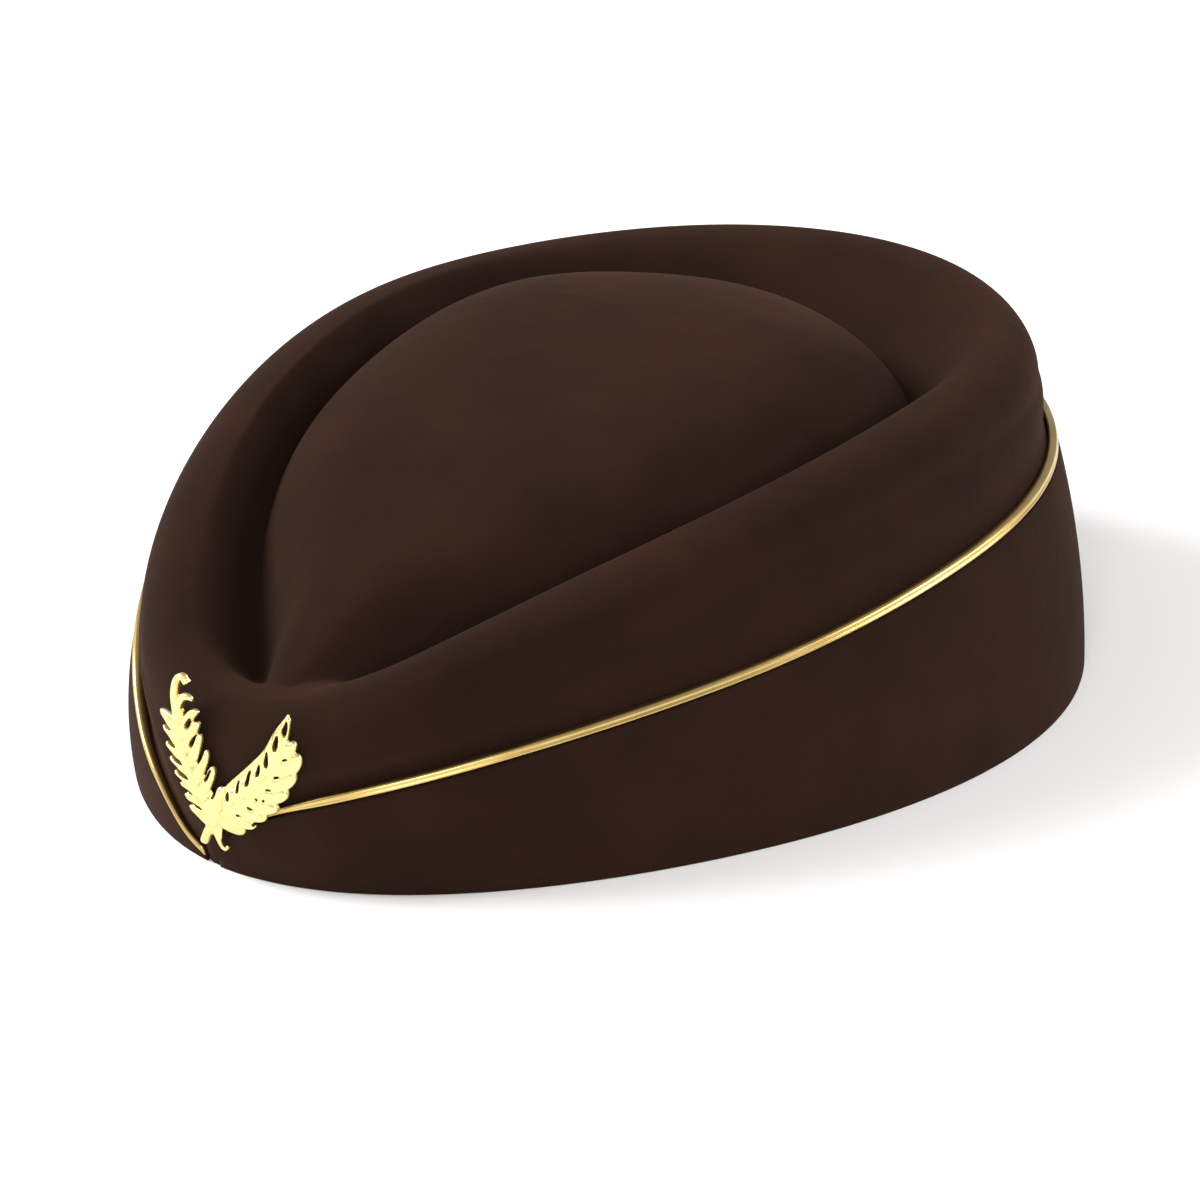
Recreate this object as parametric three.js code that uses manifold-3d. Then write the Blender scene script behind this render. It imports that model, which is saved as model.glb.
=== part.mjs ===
import * as THREE from 'three';
import { mergeVertices } from 'three/addons/utils/BufferGeometryUtils.js';
import { ConvexGeometry } from 'three/addons/geometries/ConvexGeometry.js';
import Module from 'manifold-3d';

// Felt hat with a rolled rim and a teardrop crown. The front is at -Y, the wearer's left is +X,
// the bottom edge lies on z = 0. A turn of 0 degrees is the front, 90 is +X, 180 is the back.

// Body, in millimetres
const halfLength = 103;
const halfWidth = 81.5;
const backHeight = 59.3;
const feltThickness = 2;
const badgeOverhang = 1.43;
const wallSwell = 3.2;
const wallSwellShape = 4;

// Crown
const crownCentreY = 8.6;
const crownRidge = { atY: 86, front: 37.3, middle: 67.5, back: 54 };
const crownFullness = 3.5;
const crownFootRounding = 0.7;
const gutterHollowing = 1.4;

// Nose of the crown: it lies a little to +X, and there the gutter is narrower and fades out. Forward
// of a share of halfLength the crown follows its cross-sections, and nearer the tip it rises gently.
const nose = { turn: 6, reach: 30, narrowing: 0.65, flatTo: 2, fade: 21 };
const noseSections = { from: 0.2, blend: 0.58 };
const noseRounding = { from: -0.55, blend: 0.25, more: 1.5 };

// Band and piping
const bandThickness = 1.7;
const gap = 0.3;
const pipingHeight = 1.7;
const pipingProud = 0.3;
const bulgeReach = 9;
const bulgeRoomShare = 0.85;
const bandLeastHeight = 0.9;
const bandFrontTurns = { start: -6, end: -3 };
const bandSkive = { from: 18, share: 0.35 };
const pipingTurns = { start: 6, end: -6 };
const pipingTaper = { length: 9, share: 0.45 };
const pipingSides = 8;

// Badge
const badgeStandOff = 0.5;
const badgeEdgeLift = 1.1;
const badgeHalfWidth = 14;
const badgeFoot = 5.3;
const branchHeight = 30;
const badgeBack = 0.7;
const leafRise = 0.8;
const stemRise = 1.1;
const stemWidth = 1.7;
const pinHeight = 12.2;
const pinRadius = 0.7;
const clutchRadius = 3.5;
const clutchClearance = 0.8;
const clutchThickness = 1.6;
const pinBeyondClutch = 0.8;
const boreOverrun = 1;
const roundSides = 20;

// Sections around the body, as shares: across of halfWidth, all others of backHeight.
// inset is how far the wall has leaned in where the roll starts.
const sections = [
  { turn: 0, across: 0, crest: 0.537, inset: -0.035, rollWidth: 0.095, rollHeight: 0.165 },
  { turn: 30, across: 0.411, crest: 0.68, inset: 0.023, rollWidth: 0.145, rollHeight: 0.184 },
  { turn: 60, across: 0.786, crest: 0.882, inset: 0.159, rollWidth: 0.178, rollHeight: 0.156 },
  { turn: 90, across: 1.022, crest: 0.989, inset: 0.262, rollWidth: 0.182, rollHeight: 0.136 },
  { turn: 120, across: 0.946, crest: 1, inset: 0.224, rollWidth: 0.172, rollHeight: 0.141 },
  { turn: 150, across: 0.545, crest: 0.998, inset: 0.075, rollWidth: 0.14, rollHeight: 0.157 },
  { turn: 180, across: 0, crest: 1, inset: -0.009, rollWidth: 0.115, rollHeight: 0.161 },
];

// The gutter between rim and crown at the same turns, as shares of backHeight.
const gutters = [
  { turn: 0, width: 0.235, depth: 0.14 },
  { turn: 30, width: 0.212, depth: 0.18 },
  { turn: 60, width: 0.101, depth: 0.214 },
  { turn: 90, width: 0.112, depth: 0.214 },
  { turn: 120, width: 0.187, depth: 0.224 },
  { turn: 150, width: 0.343, depth: 0.233 },
  { turn: 180, width: 0.396, depth: 0.225 },
];

// Height of the band's top edge as a share of backHeight: it starts low under the badge, climbs along
// +X to the back and comes down along -X to the bottom edge.
const bandTop = [
  { turn: -363, height: 0.015 },
  { turn: -360, height: 0.12 },
  { turn: -354, height: 0.205 },
  { turn: -346, height: 0.268 },
  { turn: -334, height: 0.337 },
  { turn: -317, height: 0.418 },
  { turn: -295, height: 0.503 },
  { turn: -267, height: 0.6 },
  { turn: -237, height: 0.642 },
  { turn: -180, height: 0.658 },
  { turn: -123, height: 0.642 },
  { turn: -90, height: 0.6 },
  { turn: -60, height: 0.52 },
  { turn: -33, height: 0.4 },
  { turn: -21, height: 0.24 },
  { turn: -15, height: 0.155 },
  { turn: -9.5, height: 0.055 },
  { turn: -6, height: 0.015 },
];

// Centre lines of the badge's branches on the unrolled front wall, from the tail to the tip: out from
// the middle as a share of badgeHalfWidth, up from the badge's foot as a share of branchHeight.
const branchLines = {
  left: [
    { out: 0.064, up: 0.033 },
    { out: -0.014, up: 0 },
    { out: -0.079, up: 0.07 },
    { out: -0.121, up: 0.17 },
    { out: -0.214, up: 0.29 },
    { out: -0.357, up: 0.41 },
    { out: -0.5, up: 0.527 },
    { out: -0.607, up: 0.653 },
    { out: -0.664, up: 0.777 },
    { out: -0.679, up: 0.877 },
    { out: -0.621, up: 0.963 },
    { out: -0.521, up: 0.997 },
    { out: -0.45, up: 0.963 },
  ],
  right: [
    { out: -0.307, up: 0.023 },
    { out: -0.186, up: 0.117 },
    { out: -0.014, up: 0.203 },
    { out: 0.286, up: 0.32 },
    { out: 0.529, up: 0.423 },
    { out: 0.707, up: 0.537 },
    { out: 0.843, up: 0.663 },
    { out: 0.936, up: 0.783 },
    { out: 0.993, up: 0.92 },
  ],
};

// Width of each branch along its centre line, as shares of stemWidth.
const stemShape = [
  { along: 0, left: 0.4, right: 0.95 },
  { along: 0.13, left: 0.6, right: 0.97 },
  { along: 0.4, left: 1, right: 1 },
  { along: 0.7, left: 0.75, right: 0.75 },
  { along: 0.85, left: 0.65, right: 0.65 },
  { along: 0.93, left: 0.6, right: 0.6 },
  { along: 1, left: 0.5, right: 0.5 },
];

// Width of the thin plate that joins a branch's leaves, as shares of badgeHalfWidth.
const plateShape = [
  { along: 0.1, left: 0.1, right: 0.143 },
  { along: 0.2, left: 0.314, right: 0.243 },
  { along: 0.3, left: 0.343, right: 0.38 },
  { along: 0.6, left: 0.32, right: 0.45 },
  { along: 0.72, left: 0.16, right: 0.36 },
  { along: 0.84, left: 0.08, right: 0.16 },
];
const plateRise = 0.3;

// The thin edge past the tips of the right branch's inner leaves: its line and its width.
const tipEdge = [
  { out: -0.057, up: 0.27, width: 0.086 },
  { out: 0.121, up: 0.397, width: 0.09 },
  { out: 0.314, up: 0.493, width: 0.095 },
  { out: 0.507, up: 0.587, width: 0.1 },
  { out: 0.679, up: 0.687, width: 0.1 },
  { out: 0.814, up: 0.81, width: 0.075 },
  { out: 0.893, up: 0.867, width: 0.06 },
  { out: 0.993, up: 0.937, width: 0.036 },
];

// Runs of leaves, each value from the first leaf to the last: place along the branch, length and width
// as shares of badgeHalfWidth, lean from the branch and the hook at the tip in degrees.
const leafRuns = [
  { branch: 'left', count: 8, place: [0.19, 0.62], length: [0.4, 0.457], width: [0.236, 0.279],
    lean: [58, 36], hook: [60, 60], taper: 0.5, blunt: 2.2 },
  { branch: 'left', count: 6, place: [0.27, 0.63], length: [0.429, 0.5], width: [0.171, 0.164],
    lean: [-72, -52], hook: [0, -70], taper: 0.3, blunt: 7 },
  { branch: 'left', count: 1, place: [0.71, 0.71], length: [0.49, 0.49], width: [0.157, 0.157],
    lean: [-26, -26], hook: [-170, -170], taper: 0.65, blunt: 7 },
  { branch: 'right', count: 7, place: [0.21, 0.66], length: [0.39, 0.5], width: [0.207, 0.286],
    lean: [-66, -34], hook: [0, 40], taper: 0.1, blunt: 3.5 },
  { branch: 'right', count: 1, place: [0.8, 0.8], length: [0.26, 0.26], width: [0.214, 0.214],
    lean: [-38, -38], hook: [30, 30], taper: 0.3, blunt: 3 },
  { branch: 'right', count: 6, place: [0.19, 0.665], length: [0.35, 0.45], width: [0.157, 0.163],
    lean: [56, 33], hook: [-80, -59], taper: -0.15, blunt: 6 },
  { branch: 'right', count: 1, place: [0.76, 0.76], length: [0.5, 0.5], width: [0.2, 0.2],
    lean: [28, 28], hook: [-50, -50], taper: 0.75, blunt: 4 },
];

// A leaf's cross-sections along its length, and how much of its lean is gone at the tip.
const leafPlaces = [0, 0.4, 0.75, 0.96];
const hookedLeafPlaces = [0, 0.35, 0.6, 0.8, 0.98];
const hookedFrom = 100;
const leafRelaxing = 0.4;
const fullHeightHalfWidth = 0.7;

// Each leaf lies this much prouder than the one before it.
const leafStep = 0.03;

// Edges of the badge that are shorter than this are left out.
const badgeFineness = 0.02;

// Slits through the badge: the middle, length and width as branchLines and leafRuns give them.
const slits = [
  { out: 0.157, up: 0.37, length: 0.107, slant: 80, width: 0.039 },
  { out: 0.307, up: 0.443, length: 0.15, slant: 80, width: 0.043 },
  { out: 0.443, up: 0.513, length: 0.2, slant: 78, width: 0.039 },
  { out: 0.586, up: 0.57, length: 0.157, slant: 76, width: 0.039 },
  { out: 0.7, up: 0.643, length: 0.207, slant: 84, width: 0.043 },
  { out: 0.829, up: 0.76, length: 0.214, slant: 78, width: 0.043 },
  { out: 0.957, up: 0.857, length: 0.229, slant: 76, width: 0.043 },
  { out: 0.829, up: 0.557, length: 0.086, slant: 20, width: 0.036 },
  { out: 0.736, up: 0.473, length: 0.114, slant: 4, width: 0.029 },
  { out: 0.479, up: 0.333, length: 0.129, slant: -15, width: 0.032 },
  { out: 0.3, up: 0.27, length: 0.1, slant: 5, width: 0.029 },
  { out: 0.943, up: 0.67, length: 0.129, slant: 25, width: 0.025 },
];
const slitSides = 6;

const fullTurn = 360;
const radians = THREE.MathUtils.degToRad;
const sectionSteps = sections.length - 1;

// Cosine series through the table's values, so every size runs smoothly all the way around.
function evenSeries(table, column) {
  const coefficients = table.map((_, order) => {
    let sum = 0;
    table.forEach((row, index) => {
      const weight = index === 0 || index === sectionSteps ? 0.5 : 1;
      sum += weight * row[column] * Math.cos(order * radians(row.turn));
    });
    const ends = order === 0 || order === sectionSteps ? 0.5 : 1;
    return (2 * ends * sum) / sectionSteps;
  });
  return (turn) => coefficients.reduce((sum, value, order) => sum + value * Math.cos(order * turn), 0);
}

function oddSeries(column) {
  const coefficients = sections.map((_, order) => {
    let sum = 0;
    sections.forEach((row) => {
      sum += row[column] * Math.sin(order * radians(row.turn));
    });
    return (2 * sum) / sectionSteps;
  });
  return (turn) => coefficients.reduce((sum, value, order) => sum + value * Math.sin(order * turn), 0);
}

const acrossAt = oddSeries('across');
const crestAt = evenSeries(sections, 'crest');
const insetAt = evenSeries(sections, 'inset');
const rollWidthAt = evenSeries(sections, 'rollWidth');
const rollHeightAt = evenSeries(sections, 'rollHeight');
const gutterWide = evenSeries(gutters, 'width');
const gutterDeep = evenSeries(gutters, 'depth');

// Smooth step from 0 to 1.
function smooth(value) {
  const part = THREE.MathUtils.clamp(value, 0, 1);
  return part * part * (3 - 2 * part);
}

// Degrees between a turn and the nose of the crown.
function besideNose(degrees) {
  const turn = THREE.MathUtils.euclideanModulo(degrees - nose.turn, fullTurn);
  return Math.min(turn, fullTurn - turn);
}

function gutterWidthAt(degrees) {
  const part = Math.sin(Math.min(1, besideNose(degrees) / nose.reach) * Math.PI / 2);
  return backHeight * gutterWide(radians(degrees)) * (1 - nose.narrowing * (1 - part));
}

function gutterDepthAt(degrees) {
  return backHeight * gutterDeep(radians(degrees)) * smooth((besideNose(degrees) - nose.flatTo) / nose.fade);
}

// Turn in degrees brought into the band's own range, from its start backwards along -X to its end.
function bandTurn(degrees) {
  const turn = degrees > 0 ? degrees - fullTurn : degrees;
  return turn > bandFrontTurns.start ? turn - fullTurn : turn;
}

// Height of the band's top edge, a smooth curve through the table without overshoot.
function bandHeight(degrees) {
  const turn = THREE.MathUtils.clamp(bandTurn(degrees), bandTop[0].turn, bandTop.at(-1).turn);
  const next = Math.max(1, bandTop.findIndex((row) => row.turn >= turn));
  const slope = (index) => {
    const before = bandTop[Math.max(0, index - 1)];
    const after = bandTop[Math.min(bandTop.length - 1, index + 1)];
    return (after.height - before.height) / (after.turn - before.turn);
  };
  const low = bandTop[next - 1];
  const high = bandTop[next];
  const span = high.turn - low.turn;
  const part = (turn - low.turn) / span;
  const bend = part * (1 - part) * (1 - part) * slope(next - 1) - part * part * (1 - part) * slope(next);
  const share = low.height + (high.height - low.height) * smooth(part) + bend * span;
  return Math.max(bandLeastHeight, backHeight * share);
}

const bandLastTurn = bandFrontTurns.end - fullTurn;

// The band thins out towards its front end, so that the end lies flat under the badge.
function bandThicknessAt(degrees) {
  const turn = bandTurn(degrees);
  const fromEnd = smooth((turn - bandLastTurn) / bandSkive.from);
  const fromStart = THREE.MathUtils.clamp((bandFrontTurns.start - turn) / bandSkive.from, 0, 1);
  const ease = Math.min(fromEnd, fromStart);
  return bandThickness * (bandSkive.share + (1 - bandSkive.share) * ease);
}

// Plan point of the bottom edge and the direction into the hat.
function planAt(degrees) {
  const turn = radians(degrees);
  const point = (angle) => new THREE.Vector2(halfWidth * acrossAt(angle), -halfLength * Math.cos(angle));
  const step = radians(0.5);
  const along = point(turn + step).sub(point(turn - step)).normalize();
  return { point: point(turn), inward: new THREE.Vector2(-along.y, along.x) };
}

function place(degrees, inset, height) {
  const { point, inward } = planAt(degrees);
  return new THREE.Vector3(point.x + inward.x * inset, point.y + inward.y * inset, height);
}

function wallTop(degrees) {
  const turn = radians(degrees);
  return backHeight * (crestAt(turn) - rollHeightAt(turn));
}

// Inset of the outer felt surface at a height, leaning and slightly swollen between edge and roll.
function wallInset(degrees, height) {
  const share = THREE.MathUtils.clamp(height / wallTop(degrees), 0, 1);
  const lean = backHeight * insetAt(radians(degrees));
  const swell = wallSwell * wallTop(degrees) / backHeight;
  return lean * share - swell * wallSwellShape * share * (1 - share);
}

// Behind the band the body is drawn in, and above the piping it bulges back out.
function bodyInset(degrees, height) {
  const seam = seamTop(degrees);
  const reach = Math.min(bulgeReach, bulgeRoomShare * (wallTop(degrees) - seam));
  const drawnIn = bandThicknessAt(degrees) + gap;
  return wallInset(degrees, height) + drawnIn * (1 - smooth((height - seam) / reach));
}

function seamTop(degrees) {
  return bandHeight(degrees) + gap + pipingHeight + gap;
}

// Closed mesh through a grid of points. Rows join around when loop is set.
function gridMesh(rows, { loop, startPole, endPole }) {
  const positions = [];
  const triangles = [];
  const columns = rows[0].length;
  rows.forEach((row) => row.forEach((point) => positions.push(point.x, point.y, point.z)));
  const across = loop ? columns : columns - 1;
  for (let row = 0; row < rows.length - 1; row += 1) {
    for (let column = 0; column < across; column += 1) {
      const next = (column + 1) % columns;
      const a = row * columns + column;
      const b = row * columns + next;
      triangles.push(a, b, b + columns, a, b + columns, a + columns);
    }
  }
  [[startPole, 0, true], [endPole, rows.length - 1, false]].forEach(([pole, row, first]) => {
    if (!pole) {
      return;
    }
    const tip = positions.length / 3;
    positions.push(pole.x, pole.y, pole.z);
    for (let column = 0; column < across; column += 1) {
      const next = (column + 1) % columns;
      const a = row * columns + column;
      const b = row * columns + next;
      triangles.push(...(first ? [tip, b, a] : [tip, a, b]));
    }
  });
  const geometry = new THREE.BufferGeometry();
  geometry.setAttribute('position', new THREE.Float32BufferAttribute(positions, 3));
  geometry.setIndex(triangles);
  return geometry;
}

const wasm = await Module();
wasm.setup();

function toManifold(geometry) {
  const plain = geometry.clone();
  plain.deleteAttribute('normal');
  plain.deleteAttribute('uv');
  const merged = mergeVertices(plain, 1e-4);
  const vertProperties = new Float32Array(merged.attributes.position.array);
  const triVerts = new Uint32Array(merged.index.array);
  return new wasm.Manifold(new wasm.Mesh({ numProp: 3, vertProperties, triVerts }));
}

function toGeometry(solid) {
  const mesh = solid.getMesh();
  const geometry = new THREE.BufferGeometry();
  geometry.setAttribute('position', new THREE.Float32BufferAttribute(mesh.vertProperties, 3));
  geometry.setIndex(new THREE.Uint32BufferAttribute(mesh.triVerts, 1));
  return geometry;
}

// Turns of the sections: closer together at the front, where the band's edge drops quickly.
const fineStep = 3;
const wideStep = 6;
const fineReach = 30;
const turns = [];
for (let turn = 0; turn < fullTurn;) {
  turns.push(turn);
  turn += turn < fineReach || turn >= fullTurn - fineReach ? fineStep : wideStep;
}

// Outer surface of the body from the bottom edge over the roll to the gutter and the crown's foot.
const lowerShares = [0, 0.35, 0.7, 1];
const upperShares = [0.35, 0.7, 1];
const rollAngles = [22.5, 45, 67.5, 90];
const innerShares = [0.25, 0.5, 0.75, 1];
const crownShares = [0.97, 0.91, 0.82, 0.66, 0.45, 0.22];

function bodyProfile(degrees) {
  const turn = radians(degrees);
  const seam = seamTop(degrees);
  const top = wallTop(degrees);
  const crest = backHeight * crestAt(turn);
  const lean = backHeight * insetAt(turn);
  const rollWidth = backHeight * rollWidthAt(turn);
  const rollHeight = backHeight * rollHeightAt(turn);
  const points = [];
  lowerShares.forEach((share) => {
    points.push(place(degrees, bodyInset(degrees, seam * share), seam * share));
  });
  upperShares.forEach((share) => {
    const height = seam + (top - seam) * share;
    points.push(place(degrees, bodyInset(degrees, height), height));
  });
  rollAngles.forEach((angle) => {
    const q = radians(angle);
    points.push(place(degrees, lean + rollWidth * (1 - Math.cos(q)), top + rollHeight * Math.sin(q)));
  });
  innerShares.forEach((share) => {
    const inset = lean + rollWidth + gutterWidthAt(degrees) * share;
    points.push(place(degrees, inset, crest - gutterDepthAt(degrees) * smooth(share ** gutterHollowing)));
  });
  return points;
}

function ridgeHeight(y) {
  const s = y / crownRidge.atY;
  const slope = (crownRidge.back - crownRidge.front) / 2;
  const bend = (crownRidge.back + crownRidge.front) / 2 - crownRidge.middle;
  return crownRidge.middle + slope * s + bend * s * s;
}

// The crown's foot line from its nose to the back, on the +X side (side 1) or the other (side -1).
function footLine(feet, side) {
  const tip = feet.reduce((best, foot, index) => (foot.y < feet[best].y ? index : best), 0);
  const line = [feet[tip]];
  for (let step = 1; step < feet.length; step += 1) {
    const foot = feet[(tip + side * step + feet.length) % feet.length];
    if (foot.y < line.at(-1).y) {
      break;
    }
    line.push(foot);
  }
  return line;
}

function footAt(line, y) {
  const at = THREE.MathUtils.clamp(y, line[0].y, line.at(-1).y);
  const next = Math.max(1, line.findIndex((foot) => foot.y >= at));
  const low = line[next - 1];
  const high = line[next];
  return low.clone().lerp(high, (at - low.y) / (high.y - low.y));
}

// Rows of the crown inside its foot: along spokes at the back, across its cross-sections at the nose.
function crownRows(feet) {
  const left = footLine(feet, 1);
  const right = footLine(feet, -1);
  return crownShares.map((share) => feet.map((foot) => {
    const x = foot.x * share;
    const y = crownCentreY + (foot.y - crownCentreY) * share;
    const leftFoot = footAt(left, y);
    const rightFoot = footAt(right, y);
    const half = (leftFoot.x - rightFoot.x) / 2;
    const sideways = THREE.MathUtils.clamp((x - (leftFoot.x + rightFoot.x) / 2) / half, -1, 1);
    const noseShare = smooth((noseSections.from - y / halfLength) / noseSections.blend);
    const tipShare = smooth((noseRounding.from - y / halfLength) / noseRounding.blend);
    const out = THREE.MathUtils.lerp(share, Math.abs(sideways), noseShare);
    const acrossZ = THREE.MathUtils.lerp(rightFoot.z, leftFoot.z, (sideways + 1) / 2);
    const base = THREE.MathUtils.lerp(foot.z, acrossZ, noseShare);
    const fill = (1 - out ** crownFullness) ** (crownFootRounding + noseRounding.more * tipShare);
    return new THREE.Vector3(x, y, base + (ridgeHeight(y) - base) * fill);
  }));
}

function gridNormals(rows, pole) {
  const geometry = gridMesh(rows, { loop: true, endPole: pole });
  geometry.computeVertexNormals();
  const normals = geometry.attributes.normal;
  const at = (index) => new THREE.Vector3().fromBufferAttribute(normals, index);
  return {
    rows: rows.map((row, r) => row.map((_, c) => at(r * row.length + c))),
    pole: at(rows.length * rows[0].length),
  };
}

function feltBody() {
  const profiles = turns.map(bodyProfile);
  const rows = profiles[0].map((_, row) => profiles.map((profile) => profile[row]));
  rows.push(...crownRows(rows.at(-1)));
  const crownTop = new THREE.Vector3(0, crownCentreY, ridgeHeight(crownCentreY));
  const normals = gridNormals(rows, crownTop);
  const innerRows = rows.map((row, r) => row.map((point, c) => {
    const inner = point.clone().addScaledVector(normals.rows[r][c], -feltThickness);
    return r === 0 ? inner.setZ(0) : inner;
  }));
  const innerTop = crownTop.clone().addScaledVector(normals.pole, -feltThickness);
  return gridMesh([...innerRows.reverse(), ...rows], { loop: true, startPole: innerTop, endPole: crownTop });
}

// Band: turns from its start under the badge, backwards along -X, around to its end.
const bandTurns = turns.map(bandTurn).sort((a, b) => b - a)
  .filter((turn) => turn <= bandFrontTurns.start && turn >= bandLastTurn);

const bandShares = [0, 0.35, 0.7, 1];

function sideBand() {
  const profiles = bandTurns.map((degrees) => {
    const top = bandHeight(degrees);
    const outer = bandShares.map((share) => place(degrees, wallInset(degrees, top * share), top * share));
    const inner = bandShares.map((share) => {
      const inset = wallInset(degrees, top * share) + bandThicknessAt(degrees);
      return place(degrees, inset, top * share);
    });
    return [...outer, ...inner.reverse()];
  });
  return sweptMesh(profiles);
}

// Closed mesh through closed outlines, with flat ends.
function sweptMesh(profiles) {
  const middle = (points) => points.reduce((sum, point) => sum.add(point), new THREE.Vector3())
    .divideScalar(points.length);
  return gridMesh(profiles, { loop: true, startPole: middle(profiles[0]), endPole: middle(profiles.at(-1)) });
}

function goldPiping() {
  const from = pipingTurns.start - fullTurn;
  const path = turns.map(bandTurn).sort((a, b) => b - a)
    .filter((turn) => turn <= pipingTurns.end && turn >= from);
  const profiles = path.map((degrees) => {
    const fromEnd = THREE.MathUtils.clamp((degrees - from) / pipingTaper.length, 0, 1);
    const scale = pipingTaper.share + (1 - pipingTaper.share) * fromEnd;
    const halfWide = scale * (bandThicknessAt(degrees) + pipingProud) / 2;
    const halfTall = scale * pipingHeight / 2;
    const height = bandHeight(degrees) + gap + halfTall;
    const outline = [];
    for (let side = 0; side < pipingSides; side += 1) {
      const angle = radians((side + 0.5) * fullTurn / pipingSides);
      const up = height + halfTall * Math.sin(angle);
      const seat = wallInset(degrees, up) + bandThicknessAt(degrees);
      outline.push(place(degrees, seat - halfWide * (1 + Math.cos(angle)), up));
    }
    return outline;
  });
  return sweptMesh(profiles);
}

// Length along the outer wall from the front middle to each turn, at the badge's height.
const wallStep = 0.5;
const wallReach = 20;
const wallLengths = [{ turn: 0, length: 0 }];
for (let turn = wallStep; turn <= wallReach; turn += wallStep) {
  const height = backHeight * crestAt(0) / 2;
  const start = place(turn - wallStep, wallInset(turn - wallStep, height), height);
  const end = place(turn, wallInset(turn, height), height);
  wallLengths.push({ turn, length: wallLengths.at(-1).length + start.distanceTo(end) });
}

function turnAtLength(length) {
  const reach = Math.abs(length);
  const next = Math.max(1, wallLengths.findIndex((row) => row.length >= reach));
  const low = wallLengths[next - 1];
  const high = wallLengths[next];
  const share = (reach - low.length) / (high.length - low.length);
  return Math.sign(length) * (low.turn + (high.turn - low.turn) * share);
}

// Badge point: out along the wall, up, and the rise above the badge's back.
function onBadge(out, up, rise) {
  const degrees = turnAtLength(out);
  const lift = badgeStandOff + badgeEdgeLift * (out / badgeHalfWidth) ** 2 + rise;
  return place(degrees, wallInset(degrees, up) - lift, up);
}

function onFlat(row) {
  return new THREE.Vector3(badgeHalfWidth * row.out, badgeFoot + branchHeight * row.up, 0);
}

function branchCurve(name) {
  return new THREE.CatmullRomCurve3(branchLines[name].map(onFlat), false, 'catmullrom');
}

const branchCurves = { left: branchCurve('left'), right: branchCurve('right') };

// Corners of a blade's cross-section: a flat back, low edges and a ridge.
function bladeSection({ x, y, heading, half, rise, lift }) {
  const edge = badgeBack / 2 + lift;
  const ridge = edge + rise * Math.min(1, half / fullHeightHalfWidth);
  const across = new THREE.Vector2(-Math.sin(heading), Math.cos(heading)).multiplyScalar(half);
  return [[-1, 0], [1, 0], [1, edge], [0, ridge], [-1, edge]]
    .map(([side, up]) => new THREE.Vector3(x + side * across.x, y + side * across.y, up));
}

function blade(crossSections) {
  return toManifold(sweptMesh(crossSections.map(bladeSection)));
}

function bladeAlong(name, rows) {
  return blade(rows.map(({ along, half, rise }) => {
    const centre = branchCurves[name].getPointAt(along);
    const tangent = branchCurves[name].getTangentAt(along);
    return { x: centre.x, y: centre.y, heading: Math.atan2(tangent.y, tangent.x), half, rise, lift: 0 };
  }));
}

function stem(name) {
  return bladeAlong(name, stemShape.map((row) => (
    { along: row.along, half: stemWidth * row[name] / 2, rise: stemRise })));
}

function plate(name) {
  return bladeAlong(name, plateShape.map((row) => (
    { along: row.along, half: badgeHalfWidth * row[name] / 2, rise: plateRise })));
}

function edgeBlade() {
  const points = tipEdge.map(onFlat);
  return blade(tipEdge.map((row, index) => {
    const along = points[Math.min(index + 1, points.length - 1)].clone().sub(points[Math.max(index - 1, 0)]);
    const half = badgeHalfWidth * row.width / 2;
    return { x: points[index].x, y: points[index].y, heading: Math.atan2(along.y, along.x), half,
      rise: plateRise, lift: 0 };
  }));
}

// Leaf of a run, from part 0 for its first to 1 for its last.
function leaf(run, part, lift) {
  const pick = ([first, last]) => first + (last - first) * part;
  const curve = branchCurves[run.branch];
  const foot = curve.getPointAt(pick(run.place));
  const along = curve.getTangentAt(pick(run.place));
  const length = badgeHalfWidth * pick(run.length);
  const hook = run.hook[0] + (run.hook[1] - run.hook[0]) * part ** 2;
  const headingAt = (share) => Math.atan2(along.y, along.x)
    + radians(pick(run.lean) * (1 - leafRelaxing * share) + hook * share ** 3);
  const places = Math.abs(hook) > hookedFrom ? hookedLeafPlaces : leafPlaces;
  let { x, y } = foot;
  let before = 0;
  return blade(places.map((share) => {
    const heading = headingAt((before + share) / 2);
    x += Math.cos(heading) * length * (share - before);
    y += Math.sin(heading) * length * (share - before);
    before = share;
    const shape = (1 - run.taper * share) * Math.sqrt(1 - share ** run.blunt);
    const half = badgeHalfWidth * pick(run.width) * shape / 2;
    return { x, y, heading: headingAt(share), half, rise: leafRise, lift };
  }));
}

function slit(row) {
  const middle = onFlat(row);
  const points = [];
  for (let side = 0; side < slitSides; side += 1) {
    const angle = radians(side * fullTurn / slitSides);
    const flat = new THREE.Vector2(row.length * Math.cos(angle), row.width * Math.sin(angle))
      .multiplyScalar(badgeHalfWidth / 2).rotateAround(new THREE.Vector2(), radians(row.slant));
    [-boreOverrun, badgeBack + stemRise + boreOverrun].forEach((up) => {
      points.push(new THREE.Vector3(middle.x + flat.x, middle.y + flat.y, up));
    });
  }
  return toManifold(new ConvexGeometry(points));
}

// Inner face of the felt at the pin.
const feltFront = place(0, bodyInset(0, pinHeight), pinHeight).y;
const feltBack = feltFront + feltThickness;
const clutchFace = feltBack + clutchClearance;

function rodAlongY(radius, fromY, toY, height) {
  const rod = new THREE.CylinderGeometry(radius, radius, toY - fromY, roundSides);
  rod.translate(0, (fromY + toY) / 2, height);
  return toManifold(rod);
}

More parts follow.
